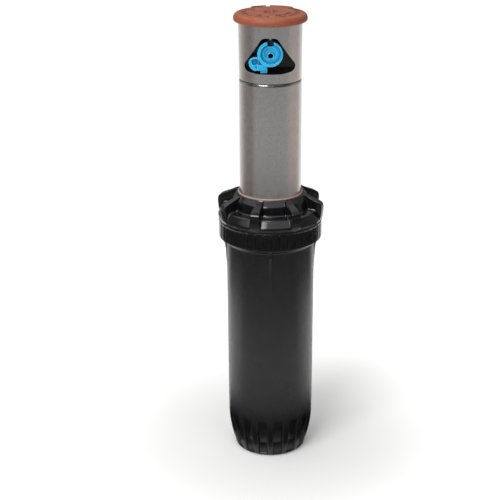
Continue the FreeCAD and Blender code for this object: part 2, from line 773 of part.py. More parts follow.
def make_cover():
    low = d.cover_low_z
    top = d.cover_top_z
    outline = [
        (0, low), (d.cover_r - 1.7, low), (d.cover_r - 0.4, low + 0.8), (d.cover_r, low + 2.1),
        (d.cover_r - 0.2, low + 3.8), (d.cover_r - 1.0, low + 5.2), (d.cover_r - 2.5, low + 6.1),
        (d.cover_r - 8, top - 0.2), (0, top),
    ]
    disc = turned("cover_body", outline)
    x, y, _ = swung(ARC_SHAFT_ANGLE, number(d.arc_centres), 0)
    tools = [
        cylinder("cover_screw_hole", 2.5, 12.0, 0, d.radius_screw_y, low - 1),
        cylinder("cover_arc_hole", 3.0, 12.0, x, y, low - 1),
        box("cover_key_slot", 7.0, 2.6, 6.0, 7.5, 8.0, low + 2.8),
    ]
    bars = [edge_bar("cover_bar_short", 99.0, 27.0, low), edge_bar("cover_bar_long", 47.0, 43.0, low)]
    piece(joined("cover_solid", [cut("cover_cut", disc, tools)] + bars), "rubber_cover")


def make_radius_screw():
    screw = joined("radius_screw_solid", [
        cylinder("screw_shank", d.radius_screw_r, 14.0, 0, d.radius_screw_y, 331.0),
        cylinder("screw_head", 2.1, 1.6, 0, d.radius_screw_y, 344.2),
    ])
    slot = box("screw_slot", 6.0, 0.7, 1.2, -3.0, d.radius_screw_y - 0.35, 345.0)
    piece(cut("radius_screw_cut", screw, [slot]), "radius_screw")


# ---------------------------------------------------------------- build and write

def check_everything():
    doc.recompute()
    for obj in doc.Objects:
        assert not {"Invalid", "Error"} & set(obj.State), (obj.Name, obj.State)
    for obj in pieces:
        shape = obj.Shape
        assert not shape.isNull() and shape.isValid(), obj.Label
        assert len(shape.Solids) == 1, (obj.Label, len(shape.Solids))


def write_parts():
    os.makedirs("parts", exist_ok=True)
    for obj in pieces:
        obj.Shape.exportStep(f"parts/{obj.Label}.step")


make_case()
make_cap()
make_cap_seals()
make_ratchet_ring()
make_riser_shell()
make_filter_and_seal()
make_stator()
make_trip_mechanism()
make_turbine()
make_gear_train()
make_gearbox()
make_output()
make_bearing()
make_arc_adjustment()
make_turret_housing()
make_nozzle()
make_cover()
make_radius_screw()
check_everything()
write_parts()
print(len(pieces), "sub-parts written")
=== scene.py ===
import json
import math

import bmesh
import bpy
import numpy as np
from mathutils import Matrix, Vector


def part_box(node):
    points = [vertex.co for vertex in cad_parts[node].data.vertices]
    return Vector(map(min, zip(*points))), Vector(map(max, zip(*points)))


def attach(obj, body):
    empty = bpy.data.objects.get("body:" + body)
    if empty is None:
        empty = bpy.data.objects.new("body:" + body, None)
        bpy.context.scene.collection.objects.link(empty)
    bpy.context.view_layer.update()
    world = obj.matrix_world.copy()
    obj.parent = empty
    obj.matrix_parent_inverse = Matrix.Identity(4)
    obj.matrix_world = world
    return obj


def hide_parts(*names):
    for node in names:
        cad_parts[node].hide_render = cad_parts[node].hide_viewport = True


# A gear-driven pop-up sprinkler, popped up. Outlines are in millimetres, about the CAD's main axis.

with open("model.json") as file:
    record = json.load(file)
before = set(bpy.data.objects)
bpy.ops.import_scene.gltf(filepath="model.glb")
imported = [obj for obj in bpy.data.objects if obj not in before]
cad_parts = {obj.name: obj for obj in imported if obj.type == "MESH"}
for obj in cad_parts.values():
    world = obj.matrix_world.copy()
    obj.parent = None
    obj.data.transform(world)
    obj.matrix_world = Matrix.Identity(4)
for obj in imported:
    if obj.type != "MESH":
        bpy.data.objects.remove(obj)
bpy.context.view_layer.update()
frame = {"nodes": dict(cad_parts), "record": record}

MM = 0.001
COLUMNS = 480
STEP = 2 * math.pi / COLUMNS
NODES = frame["nodes"]


def low_high(node):
    """A CAD node's box, in millimetres."""
    low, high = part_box(node)
    return low / MM, high / MM


# ---------------------------------------------------------------- materials

class Finish:
    """A procedural material: one Principled shader, patterned in the object's own millimetres."""

    def __init__(self, name, **sockets):
        self.material = bpy.data.materials.new(name)
        self.material.use_nodes = True
        self.tree = self.material.node_tree
        self.shader = self.tree.nodes["Principled BSDF"]
        for socket, value in sockets.items():
            self.shader.inputs[socket.replace("_", " ")].default_value = value
        self.place = self.node("ShaderNodeTexCoord").outputs["Object"]

    def node(self, kind, **settings):
        made = self.tree.nodes.new(kind)
        for key, value in settings.items():
            setattr(made, key, value)
        return made

    def link(self, source, target):
        self.tree.links.new(source, target)

    def noise(self, size, detail=3.0, stretch=(1, 1, 1), roughness=0.55):
        """Noise whose features are about `size` millimetres, stretched along the axes."""
        mapping = self.node("ShaderNodeMapping")
        mapping.inputs["Scale"].default_value = [1 / (MM * size * s) for s in stretch]
        self.link(self.place, mapping.inputs["Vector"])
        noise = self.node("ShaderNodeTexNoise")
        noise.inputs["Scale"].default_value = 1.0
        noise.inputs["Detail"].default_value = detail
        noise.inputs["Roughness"].default_value = roughness
        self.link(mapping.outputs["Vector"], noise.inputs["Vector"])
        return noise.outputs["Fac"]

    def ramp(self, source, stops):
        """Colours or greys by the source's value: stops are (position, colour)."""
        ramp = self.node("ShaderNodeValToRGB")
        entries = ramp.color_ramp.elements
        while len(entries) < len(stops):
            entries.new(0.5)
        for entry, (position, colour) in zip(entries, stops):
            entry.position = position
            if isinstance(colour, (int, float)):
                colour = (colour,) * 3
            entry.color = (*colour, 1)
        self.link(source, ramp.inputs["Fac"])
        return ramp.outputs["Color"]

    def mix(self, factor, first, second, blend="MIX"):
        mix = self.node("ShaderNodeMix", data_type="RGBA", blend_type=blend)
        slots = {"Factor": 0, "A": 6, "B": 7}
        for key, value in (("Factor", factor), ("A", first), ("B", second)):
            socket = mix.inputs[slots[key]]
            if isinstance(value, bpy.types.NodeSocket):
                self.link(value, socket)
            elif key == "Factor":
                socket.default_value = value
            else:
                socket.default_value = (*value, 1)
        return mix.outputs[2]

    def edges(self, low=0.5, high=0.56):
        """White on convex edges, black elsewhere."""
        geometry = self.node("ShaderNodeNewGeometry")
        return self.ramp(geometry.outputs["Pointiness"], [(low, 0.0), (high, 1.0)])

    def height(self, low, high):
        """0 at one height and 1 at another, in millimetres."""
        parts = self.node("ShaderNodeSeparateXYZ")
        self.link(self.place, parts.inputs["Vector"])
        span = self.node("ShaderNodeMapRange", interpolation_type="SMOOTHSTEP")
        span.inputs["From Min"].default_value = low * MM
        span.inputs["From Max"].default_value = high * MM
        self.link(parts.outputs["Z"], span.inputs["Value"])
        return span.outputs["Result"]

    def hollow_shade(self, reach):
        """A painted-shade mask from ambient occlusion: 0 in deep corners, 1 in the open; the reach is in
        millimetres.
        """
        made = self.node("ShaderNodeAmbientOcclusion", samples=8)
        made.inputs["Distance"].default_value = reach * MM
        return self.ramp(made.outputs["AO"], [(0.42, 0.0), (0.82, 1.0)])

    def colour(self, source):
        self.link(source, self.shader.inputs["Base Color"])
        return self

    def rough(self, source, low, high):
        span = self.node("ShaderNodeMapRange")
        span.inputs["From Min"].default_value = 0.3
        span.inputs["From Max"].default_value = 0.7
        span.inputs["To Min"].default_value = low
        span.inputs["To Max"].default_value = high
        self.link(source, span.inputs["Value"])
        self.link(span.outputs["Result"], self.shader.inputs["Roughness"])
        return self

    def bump(self, source, depth, strength=1.0):
        bump = self.node("ShaderNodeBump")
        bump.inputs["Strength"].default_value = strength
        bump.inputs["Distance"].default_value = depth * MM
        self.link(source, bump.inputs["Height"])
        if self.shader.inputs["Normal"].links:
            before = self.shader.inputs["Normal"].links[0].from_socket
            self.link(before, bump.inputs["Normal"])
        self.link(bump.outputs["Normal"], self.shader.inputs["Normal"])
        return self


def moulded(name, dark, light, rough, grain=0.35, depth=0.006, scuff=None, **sockets):
    """Moulded plastic: slow colour drift, fine grain, uneven gloss and worn edges."""
    finish = Finish(name, **sockets)
    drift = finish.noise(9.0, 4.0)
    colour = finish.ramp(drift, [(0.32, dark), (0.68, light)])
    if scuff:
        colour = finish.mix(finish.edges(), colour, scuff)
    finish.colour(colour)
    finish.rough(finish.noise(3.5, 5.0), *rough)
    finish.bump(finish.noise(grain, 2.0), depth)
    return finish


def steel(name, tone, rough, streak):
    """Rolled stainless sheet: fine drawing lines, cloudy patches and small stains."""
    finish = Finish(name, Metallic=1.0)
    lines = finish.noise(0.5, 4.0, streak)
    clouds = finish.noise(5.0, 6.0, (1.0, 1.0, 1.3))
    specks = finish.noise(0.9, 3.0)
    dark = [t * 0.92 for t in tone]
    light = [min(1.0, t * 1.05) for t in tone]
    colour = finish.ramp(clouds, [(0.34, dark), (0.5, tone), (0.66, light)])
    line_tone = finish.ramp(lines, [(0.25, 0.86), (0.75, 1.0)])
    colour = finish.mix(0.75, colour, line_tone, "MULTIPLY")
    grain = finish.ramp(finish.noise(0.7, 3.0, (1.6, 1.6, 1.0)), [(0.32, 0.80), (0.68, 1.0)])
    colour = finish.mix(0.8, colour, grain, "MULTIPLY")
    stain = finish.ramp(specks, [(0.63, 1.0), (0.74, (0.72, 0.66, 0.60))])
    finish.colour(finish.mix(0.6, colour, stain, "MULTIPLY"))
    finish.rough(clouds, *rough)
    finish.bump(lines, 0.0022).bump(finish.noise(1.6, 3.0), 0.004)
    return finish


def make_finishes():
    made = {
        "case_plastic": moulded("case_satin_black", (0.0050, 0.0050, 0.0056), (0.0078, 0.0077, 0.0084),
                                (0.27, 0.36), 0.30, 0.006, (0.02, 0.02, 0.021)),
        "cap_plastic": moulded("cap_gloss_black", (0.0036, 0.0034, 0.0042), (0.0055, 0.0052, 0.0062),
                               (0.13, 0.22), 1.3, 0.010, (0.012, 0.012, 0.013)),
        "inner_black": moulded("inner_gloss_black", (0.0035, 0.0032, 0.0032), (0.0065, 0.0058, 0.0056),
                               (0.16, 0.26), 1.2, 0.010, (0.01, 0.009, 0.009)),
        "inner_grey": moulded("inner_grey_plastic", (0.10, 0.105, 0.11), (0.15, 0.155, 0.16), (0.38, 0.5)),
        "acetal_white": moulded("acetal_white", (0.66, 0.65, 0.60), (0.76, 0.75, 0.70), (0.30, 0.42)),
        "filter_plastic": moulded("filter_plastic", (0.016, 0.017, 0.019), (0.03, 0.031, 0.034), (0.4, 0.52)),
        "stainless_tube": steel("rolled_stainless", (0.70, 0.69, 0.68), (0.19, 0.27), (1.0, 1.0, 26.0)),
        "steel_pins": steel("turned_steel", (0.55, 0.54, 0.53), (0.22, 0.34), (1.0, 1.0, 0.3)),
        "spring_steel": steel("spring_steel", (0.40, 0.39, 0.38), (0.26, 0.38), (3.0, 3.0, 0.6)),
    }
    cover = Finish("cover_rubber")
    cloud = cover.noise(5.0, 5.0)
    # painted sheen: the top face gets a pinker, lighter tone than the side, mixed in by height
    side = cover.ramp(cloud, [(0.3, (0.29, 0.062, 0.021)), (0.7, (0.35, 0.079, 0.027))])
    top = cover.ramp(cloud, [(0.3, (0.28, 0.074, 0.034)), (0.7, (0.36, 0.098, 0.047))])
    colour = cover.mix(cover.height(345.2, 347.0), side, top)
    dust = cover.ramp(cover.noise(0.8, 4.0), [(0.58, 0.0), (0.75, 0.35)])
    colour = cover.mix(dust, colour, (0.40, 0.22, 0.15))
    colour = cover.mix(cover.edges(0.5, 0.6), colour, (0.42, 0.16, 0.09))
    # the raised marks' tops are darker brown, set by height
    mark_darkening = cover.ramp(cover.height(347.22, 347.42), [(0.0, 0.0), (1.0, 0.9)])
    cover.colour(cover.mix(mark_darkening, colour, (0.060, 0.027, 0.017)))
    cover.rough(cover.noise(2.0, 4.0), 0.46, 0.62)
    cover.bump(cover.noise(0.45, 3.0), 0.016)
    made["cover_rubber"] = cover

    wiper = Finish("wiper_rubber")
    wiper.colour(wiper.ramp(wiper.noise(2.5, 4.0), [(0.3, (0.34, 0.235, 0.20)), (0.7, (0.42, 0.30, 0.26))]))
    wiper.rough(wiper.noise(1.5, 3.0), 0.42, 0.56)
    wiper.bump(wiper.noise(0.35, 2.0), 0.010)
    made["wiper_rubber"] = wiper

    seal = Finish("seal_rubber")
    seal.colour(seal.ramp(seal.noise(2.0, 4.0), [(0.3, 0.012), (0.7, 0.022)]))
    seal.rough(seal.noise(1.5, 3.0), 0.45, 0.6)
    seal.bump(seal.noise(0.4, 2.0), 0.012)
    made["seal_rubber"] = seal

    nozzle = Finish("nozzle_plastic", Subsurface_Weight=0.06, Subsurface_Scale=0.0015)
    nozzle.shader.inputs["Subsurface Radius"].default_value = (0.3, 0.8, 1.0)
    tint = nozzle.ramp(nozzle.noise(4.0, 4.0), [(0.3, (0.008, 0.44, 0.80)), (0.7, (0.014, 0.50, 0.88))])
    # painted highlight: the nozzle's convex edges get a lighter blue
    tint = nozzle.mix(nozzle.edges(0.5, 0.58), tint, (0.22, 0.68, 0.93))
    # painted shade: the nozzle's hollows are darkened to deep blue by ambient occlusion
    nozzle.colour(nozzle.mix(nozzle.hollow_shade(12.0), (0.001, 0.12, 0.27), tint))
    nozzle.rough(nozzle.noise(1.5, 3.0), 0.28, 0.40)
    nozzle.bump(nozzle.noise(0.4, 2.0), 0.006)
    made["nozzle_plastic"] = nozzle
    return {slot: finish.material for slot, finish in made.items()}


MATERIALS = make_finishes()


def dress_cad_nodes():
    """Gives every CAD node the finish of its material slot."""
    for row in frame["record"]["subparts"]:
        mesh = NODES[row["node"]].data
        mesh.materials.clear()
        mesh.materials.append(MATERIALS[row["material_slot"]])


dress_cad_nodes()


# ---------------------------------------------------------------- mesh tools

def finish_piece(name, mesh, slot, body, *replaced):
    """Makes an object of a mesh, gives it its finish and puts it on its body."""
    piece = bpy.data.objects.new(name, mesh)
    bpy.context.scene.collection.objects.link(piece)
    mesh.materials.clear()
    mesh.materials.append(MATERIALS[slot])
    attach(piece, body)
    if replaced:
        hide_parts(*replaced)
    return piece


def spun_mesh(name, spots, closed=True):
    """A mesh of rings: spots is an array (rows, columns, 3) in millimetres."""
    rows, columns, _ = spots.shape
    mesh = bpy.data.meshes.new(name)
    index = np.arange(rows * columns).reshape(rows, columns)
    following = np.roll(index, -1, axis=0) if closed else index[1:]
    here = index if closed else index[:-1]
    right_here = np.roll(here, -1, axis=1)
    right_next = np.roll(following, -1, axis=1)
    faces = np.stack([here, right_here, right_next, following], axis=-1).reshape(-1, 4)
    mesh.from_pydata((spots.reshape(-1, 3) * MM).tolist(), [], faces.tolist())
    net = bmesh.new()
    net.from_mesh(mesh)
    bmesh.ops.remove_doubles(net, verts=net.verts, dist=2e-6)
    bmesh.ops.recalc_face_normals(net, faces=net.faces)
    net.to_mesh(mesh)
    net.free()
    mesh.shade_smooth()
    return mesh


def rounded(corners, steps=4):
    """A closed outline of (radius, height, fillet) corners, with the fillets drawn."""
    points = []
    count = len(corners)
    for index, (r, z, fillet) in enumerate(corners):
        here = np.array([r, z], float)
        before = np.array(corners[index - 1][:2], float)
        after = np.array(corners[(index + 1) % count][:2], float)
        if fillet <= 0:
            points.append(here)
            continue
        to_before, to_after = before - here, after - here
        reach = min(fillet, 0.45 * np.linalg.norm(to_before), 0.45 * np.linalg.norm(to_after))
        start = here + to_before / np.linalg.norm(to_before) * reach
        end = here + to_after / np.linalg.norm(to_after) * reach
        for t in np.linspace(0, 1, steps + 1):
            points.append((1 - t) ** 2 * start + 2 * t * (1 - t) * here + t * t * end)
    return np.array(points)


def refined(points, spacing):
    """Adds points so that no run is longer than spacing(radius, height) allows."""
    made = []
    count = len(points)
    for index in range(count):
        here, after = points[index], points[(index + 1) % count]
        middle = (here + after) / 2
        pieces = max(1, math.ceil(np.linalg.norm(after - here) / spacing(*middle)))
        for step in range(pieces):
            made.append(here + (after - here) * step / pieces)
    return np.array(made)


def smooth_step(value):
    value = np.clip(value, 0, 1)
    return value * value * (3 - 2 * value)


def crowded(centres, spread, gain):
    """Column angles that crowd together near some angles. All are in degrees."""
    fine = np.linspace(0, 360, 14401)
    density = np.ones_like(fine)
    for centre in centres:
        away = (fine - centre + 180) % 360 - 180
        density += gain * np.exp(-((away / spread) ** 2))
    total = np.concatenate([[0], np.cumsum((density[1:] + density[:-1]) / 2)])
    marks = np.arange(COLUMNS) / COLUMNS * total[-1]
    return np.radians(np.interp(marks, total, fine))


def around(count, first=0.0):
    return [first + 360 / count * index for index in range(count)]


def off_nearest(angles, count, first=0.0):
    """Each angle's signed distance to the nearest of some evenly spaced ones, in radians."""
    pitch = 2 * math.pi / count
    return (angles - math.radians(first) + pitch / 2) % pitch - pitch / 2


def as_spots(radius, height, angle):
    return np.stack([radius * np.cos(angle), radius * np.sin(angle), height], axis=-1)


EVEN = np.arange(COLUMNS) * STEP


# ---------------------------------------------------------------- case

FLUTES = 16
FLUTE_HALF = 3.5
# radius of a flute's floor by height: it runs out at the top
FLUTE_FLOOR = ((27.0, 2.0), (27.3, 12.0), (33.8, 35.0), (36.0, 42.0))
GUSSETS = 4
GUSSET_HALF = 1.1
THREAD_PITCH = 2.209
THREAD_DEPTH = 1.05
THREAD_CREST = 15.2


def case_outline():
    corners = [
        (16.3, 0, 0.2), (26.5, 0, 0.9), (27.8, 1.0, 0.9), (29.0, 4.2, 2.5), (30.9, 12.4, 5),
        (32.2, 19.5, 5), (32.9, 27.0, 5), (33.1, 38, 6), (33.5, 166.2, 0), (33.5, 174.4, 0.8),
        (34.8, 176.0, 0.4), (34.8, 198, 0.5), (29, 198, 0.5), (29, 36, 1.5), (24.5, 32, 0.8),
        (24.5, 28, 1.0), (16.5, 28, 0.6), (16.5, 31.7, 0.4), (13.5, 31.7, 0.4), (13.5, 24.4, 0.3),
        (15.2, 22.5, 0.2), (15.2, 1.2, 0),
    ]

    def spacing(r, z):
        if r < 15.4 and z < 22.6:
            return 0.5
        if r > 26 and z < 42:
            return 0.95
        if r > 31 and 160 < z < 178:
            return 1.2
        return 16.0

    return refined(rounded(corners), spacing)


def make_case():
    outline = case_outline()
    gusset_line = np.array([(32.6, 162.0), (33.4, 162.8), (34.0, 163.8), (34.6, 170.6), (36.6, 173.9),
                            (38.2, 176.8), (38.4, 177.9)])
    flute_line = np.array(FLUTE_FLOOR)
    flute_edges = [c + s for c in around(FLUTES, 11.25) for s in (-6.4, 6.4)]
    gusset_edges = [c + s for c in around(GUSSETS) for s in (-1.9, 1.9)]
    flute_columns = crowded(flute_edges, 1.5, 2.2)
    gusset_columns = crowded(gusset_edges, 1.2, 7.0)
    spots = []
    for r, z in outline:
        outer = r > 26.5 and z < 178.5
        share = smooth_step((z - 60) / 80) if outer else 0.0
        columns = flute_columns * (1 - share) + gusset_columns * share if outer else EVEN
        radius = np.full(COLUMNS, float(r))
        if outer and z < 42:
            off = off_nearest(columns, FLUTES, 11.25)
            across = np.abs(r * np.sin(off))
            inside = smooth_step((FLUTE_HALF + 0.55 - across) / 1.1) * smooth_step((z - 1.6) / 0.8)
            floor = np.interp(z, flute_line[:, 1], flute_line[:, 0]) / np.cos(off)
            gap = r - floor
            radius = r - inside * (np.sqrt(gap ** 2 + 0.09) + gap) / 2
        if outer and 162.0 < z < 178.1:
            crest = max(r, np.interp(z, gusset_line[:, 1], gusset_line[:, 0]))
            across = r * np.sin(off_nearest(columns, GUSSETS))
            radius = r + smooth_step((GUSSET_HALF + 0.2 - np.abs(across)) / 0.45) * (crest - r)
        if r < 15.4 and 1.1 < z < 22.6:
            turn = (z / THREAD_PITCH - columns / (2 * math.pi)) % 1.0
            groove = smooth_step(1.25 - np.abs(turn - 0.5) * 3.0)
            fade = min(smooth_step((22.0 - z) / 3.0), 1.0)
            radius = THREAD_CREST + groove * THREAD_DEPTH * fade
        spots.append(as_spots(radius, np.full(COLUMNS, float(z)), columns))
    mesh = spun_mesh("case_shell", np.array(spots))
    return finish_piece("case_shell", mesh, "case_plastic", "case", "case")


# ---------------------------------------------------------------- screw cap

FINS = 8
FIN_TURN = math.radians(-16.7)
GROOVES = 40
GROOVE_HALF = 0.62
GROOVE_DEPTH = 0.8
# matching heights on the cap's wall and on a fin's crest, with the fin's half width there
FIN_ROWS = [
    # wall r, wall z, crest r, crest z, half width
    (39.30, 193.4, 39.34, 193.4, 3.9),
    (39.50, 194.6, 40.10, 195.0, 3.85),
    (39.62, 195.9, 40.70, 199.6, 3.8),
    (38.55, 197.7, 41.00, 203.2, 3.6),
    (37.45, 199.5, 40.70, 205.4, 3.5),
    (36.35, 201.35, 39.95, 206.7, 3.35),
    (33.40, 201.75, 38.50, 207.7, 3.2),
    (30.60, 201.85, 34.60, 209.4, 2.9),
    (29.75, 203.3, 31.20, 210.8, 2.7),
    (28.75, 208.7, 29.00, 212.0, 2.55),
    (26.80, 211.3, 27.20, 212.85, 2.5),
    (25.60, 212.95, 25.70, 213.05, 2.5),
]


def softened(rows, passes):
    """Rounds the corners of a densely drawn line, keeping its ends."""
    for _ in range(passes):
        inner = (rows[:-2] + 2 * rows[1:-1] + rows[2:]) / 4
        rows = np.concatenate([rows[:1], inner, rows[-1:]])
    return rows


def make_cap():
    keys = np.array(FIN_ROWS, float)
    marks = np.linspace(0, len(keys) - 1, 76)
    dense = np.stack([np.interp(marks, np.arange(len(keys)), keys[:, c]) for c in range(5)], axis=-1)
    dense = softened(dense, 3)
    groove_edges = [c + s for c in around(GROOVES) for s in (-1.1, 1.1)]
    grip_columns = crowded(groove_edges, 0.7, 3.0)

    spots = []
    low = 178.2
    skirt = rounded([(36.2, low + 0.4, 0.2), (38.65, low, 0.15), (38.9, low + 0.3, 0.1), (38.9, 190.9, 0.25),
                     (39.2, 191.3, 0.25), (39.3, 193.0, 0)], 3)
    skirt = refined(skirt[:-1], lambda r, z: 0.9 if r > 38.3 else 3.0)[:-3]
    for r, z in skirt:
        across = r * np.sin(off_nearest(grip_columns, GROOVES))
        depth = smooth_step((z - low - 0.6) / 0.7) * smooth_step((190.6 - z) / 0.7)
        groove = smooth_step((GROOVE_HALF + 0.22 - np.abs(across)) / 0.5) * depth * GROOVE_DEPTH
        radius = r - groove if r > 38.4 else np.full(COLUMNS, float(r))
        spots.append(as_spots(radius, np.full(COLUMNS, float(z)), grip_columns))

    for index, (r, z, crest_r, crest_z, half) in enumerate(dense):
        edge = math.degrees(math.asin(half / crest_r))
        edges = [c + s * edge for c in around(FINS) for s in (-1, 1)]
        columns = crowded(edges, 1.3 * 30 / crest_r, 6.0)
        share = smooth_step(index / 7)
        columns = grip_columns * (1 - share) + columns * share
        off = off_nearest(columns, FINS)
        across = np.sin(off) * r
        lift = smooth_step((half + 0.55 - np.abs(across)) / 1.1)
        radius = r + lift * (crest_r - r)
        height = z + lift * (crest_z - z)
        spots.append(as_spots(radius, height, columns))

    inner = rounded([(25.3, 213.1, 0), (24.65, 213.1, 0.3), (24.65, 205.3, 0.2), (28.3, 205.3, 0.2),
                     (28.3, 199.7, 0.2), (36.2, 199.7, 0.4), (36.2, low + 1.2, 0)], 2)
    last = columns
    for index, (r, z) in enumerate(inner):
        share = min(1.0, index / 8)
        angles = last * (1 - share) + EVEN * share
        spots.append(as_spots(np.full(COLUMNS, float(r)), np.full(COLUMNS, float(z)), angles))

    spots = np.array(spots)
    turn = np.array([[math.cos(FIN_TURN), math.sin(FIN_TURN), 0],
                     [-math.sin(FIN_TURN), math.cos(FIN_TURN), 0], [0, 0, 1]])
    mesh = spun_mesh("screw_cap", spots @ turn)
    return finish_piece("screw_cap", mesh, "cap_plastic", "case", "body_cap")


def make_wiper():
    low, high = low_high("wiper_seal")
    top = high.z
    outline = rounded([
        (23.25, top - 5.0, 0.3), (23.9, top - 7.0, 0.2), (23.9, low.z, 0.2), (27.9, low.z, 0.3),
        (27.9, low.z + 2.9, 0.3), (24.55, low.z + 2.9, 0.2), (24.6, top - 0.75, 0.5), (24.3, top - 0.05, 0.5),
        (23.5, top, 0.5), (23.2, top - 1.1, 0.4), (23.25, top - 3.0, 0.5),
    ], 4)
    spots = [as_spots(np.full(COLUMNS, r), np.full(COLUMNS, z), EVEN) for r, z in outline]
    mesh = spun_mesh("wiper_ring", np.array(spots))
    return finish_piece("wiper_ring", mesh, "wiper_rubber", "case", "wiper_seal")


# ---------------------------------------------------------------- rubber cover

COVER_R = 26.9
COVER_RISE = 6.1
COVER_CROWN = 0.35
RIM_R = 24.5
SCREW_HOLE_R = 2.5
ARC_HOLE_R = 3.0
HOLE_DEPTH = 7.0
MARK_HEIGHT = 0.45
ARC_HOLE = (-10.6, 10.6)
SCREW_HOLE = (0.0, -18.4)


def bar_field(x, y, start, end, half):
    """1 inside a round-ended bar between two points, 0 outside."""
    start, end = np.array(start, float), np.array(end, float)
    run = end - start
    along = np.clip(((x - start[0]) * run[0] + (y - start[1]) * run[1]) / (run @ run), 0, 1)
    away = np.hypot(x - start[0] - along * run[0], y - start[1] - along * run[1])
    return smooth_step((half + 0.15 - away) / 0.35)


def arc_field(x, y, radius, first, last, half):
    """1 inside an arc-shaped bar about the main axis, from one angle to another in degrees."""
    middle, reach = math.radians((first + last) / 2), math.radians((last - first) / 2)
    angle = (np.arctan2(y, x) - middle + math.pi) % (2 * math.pi) - math.pi
    over = np.maximum(np.abs(angle) - reach, 0) * radius
    away = np.hypot(over, np.hypot(x, y) - radius)
    return smooth_step((half + 0.15 - away) / 0.35)


def raised_marks(x, y):
    """Plain moulded marks: dashes round the rim, a turning arrow, a plus and a minus."""
    marks = np.zeros_like(x)
    for first, length in ((99.5, 26), (47.5, 42)):
        marks = np.maximum(marks, arc_field(x, y, 23.4, first, first + length, 0.6) * 1.9)
    for index in range(9):
        for side in (0, 1):
            angle = math.radians(131 + 9.5 * index if side else 44 - 9.5 * index)
            out = np.array([math.cos(angle), math.sin(angle)])
            lean = 0.9 if index % 3 == 1 else -0.5
            tip = out * 21.6 + np.array([-out[1], out[0]]) * lean
            marks = np.maximum(marks, bar_field(x, y, out * 18.2, tip, 0.5))
    for first in (214, 236, 288, 310):
        marks = np.maximum(marks, arc_field(x, y, 20.6, first, first + 15, 0.45))
    marks = np.maximum(marks, arc_field(x, y, 14.6, 285, 340, 0.55))
    tip = np.array([math.cos(math.radians(344)), math.sin(math.radians(344))])
    for spread in (-2.0, 2.0):
        angle = math.radians(334)
        back = np.array([math.cos(angle), math.sin(angle)]) * (14.6 + spread)
        marks = np.maximum(marks, bar_field(x, y, tip * 14.6, back, 0.5))
    marks = np.maximum(marks, bar_field(x, y, (-8.0, -12.0), (-8.0, -15.6), 0.5))
    marks = np.maximum(marks, bar_field(x, y, (-9.8, -13.8), (-6.2, -13.8), 0.5))
    marks = np.maximum(marks, bar_field(x, y, (7.2, -16.4), (3.8, -15.2), 0.5))
    for angle in (20, 60, 100, 140, 180, 220, 260, 300):
        out = np.array([math.cos(math.radians(angle)), math.sin(math.radians(angle))])
        marks = np.maximum(marks, bar_field(x, y, out * 3.2, out * 5.2, 0.45))
    return marks


def holes(x, y):
    """How far the cover's openings go down, in millimetres."""
    depths = []
    for (hole_x, hole_y), radius in ((SCREW_HOLE, SCREW_HOLE_R), (ARC_HOLE, ARC_HOLE_R)):
        away = np.hypot(x - hole_x, y - hole_y)
        depths.append(smooth_step((radius + 0.2 - away) / 0.4) * HOLE_DEPTH)
    key = bar_field(x, y, (8.6, 9.3), (13.4, 9.3), 1.15) * 4.6
    rim = arc_field(x, y, 24.3, 0, 359.9, 0.16) * 0.12
    return np.maximum.reduce([*depths, key, rim])


def make_cover():
    low, _ = low_high("rubber_cover")
    rim_z = low.z + COVER_RISE
    under = rounded([(22.9, low.z + 0.05, 0.1), (25.1, low.z + 0.05, 0.7), (26.5, low.z + 0.8, 0.9),
                     (COVER_R, low.z + 2.2, 1.2), (26.65, low.z + 3.9, 1.3), (25.8, low.z + 5.3, 1.3),
                     (24.8, low.z + 5.95, 0.6), (24.3, low.z + 6.05, 0)], 6)[:-1]
    spots = [as_spots(np.full(COLUMNS, 0.001), np.full(COLUMNS, low.z + 0.05), EVEN)]
    for r, z in under:
        spots.append(as_spots(np.full(COLUMNS, r), np.full(COLUMNS, z), EVEN))
    for r in np.concatenate([np.arange(RIM_R, 12.0, -0.22), np.arange(12.0, 0.6, -0.32), [0.001]]):
        x, y = r * np.cos(EVEN), r * np.sin(EVEN)
        dome = rim_z + COVER_CROWN * math.sqrt(1 - (r / (RIM_R + 0.5)) ** 2)
        height = dome + raised_marks(x, y) * MARK_HEIGHT * (1 - smooth_step((r - 24.1) / 0.5))
        height = np.maximum(height - holes(x, y), low.z + 1.2)
        spots.append(as_spots(np.full(COLUMNS, r), height, EVEN))
    mesh = spun_mesh("cover_disc", np.array(spots), closed=False)
    return finish_piece("cover_disc", mesh, "cover_rubber", "turret", "rubber_cover")


# ---------------------------------------------------------------- steel sleeve

RISER_R = 22.95
RISER_BORE_R = 22.52


def make_riser_sleeve():
    """The riser's sleeve with its top edge rolled inwards."""
    low, high = low_high("riser_sleeve")
    inner, outer = RISER_BORE_R, RISER_R
    outline = rounded([
        (inner, low.z, 0), (outer - 0.15, low.z, 0.1), (outer, low.z + 0.3, 0.1), (outer, high.z - 1.3, 1.5),
        (inner + 0.08, high.z, 0.3), (inner, high.z - 0.4, 0),
    ], 8)
    spots = [as_spots(np.full(COLUMNS, r), np.full(COLUMNS, z), EVEN) for r, z in outline]
    mesh = spun_mesh("riser_shell", np.array(spots))
    return finish_piece("riser_shell", mesh, "stainless_tube", "riser", "riser_sleeve")


# ---------------------------------------------------------------- nozzle

def apply_modifiers(piece):
    view = bpy.context.evaluated_depsgraph_get()
    mesh = bpy.data.meshes.new_from_object(piece.evaluated_get(view))
    piece.modifiers.clear()
    piece.data = mesh


def tool_cylinder(radius, depth, spot, sides=64, end_radius=None):
    """A cutter along Y from a spot, in millimetres."""
    net = bmesh.new()
    bmesh.ops.create_cone(net, cap_ends=True, segments=sides, radius1=radius * MM,
                          radius2=(end_radius or radius) * MM, depth=depth * MM)
    mesh = bpy.data.meshes.new("tool")
    net.to_mesh(mesh)
    net.free()
    tool = bpy.data.objects.new("tool", mesh)
    tool.rotation_euler = (math.radians(-90), 0, 0)
    tool.location = Vector((spot[0], spot[1] + depth / 2, spot[2])) * MM
    bpy.context.scene.collection.objects.link(tool)
    return tool


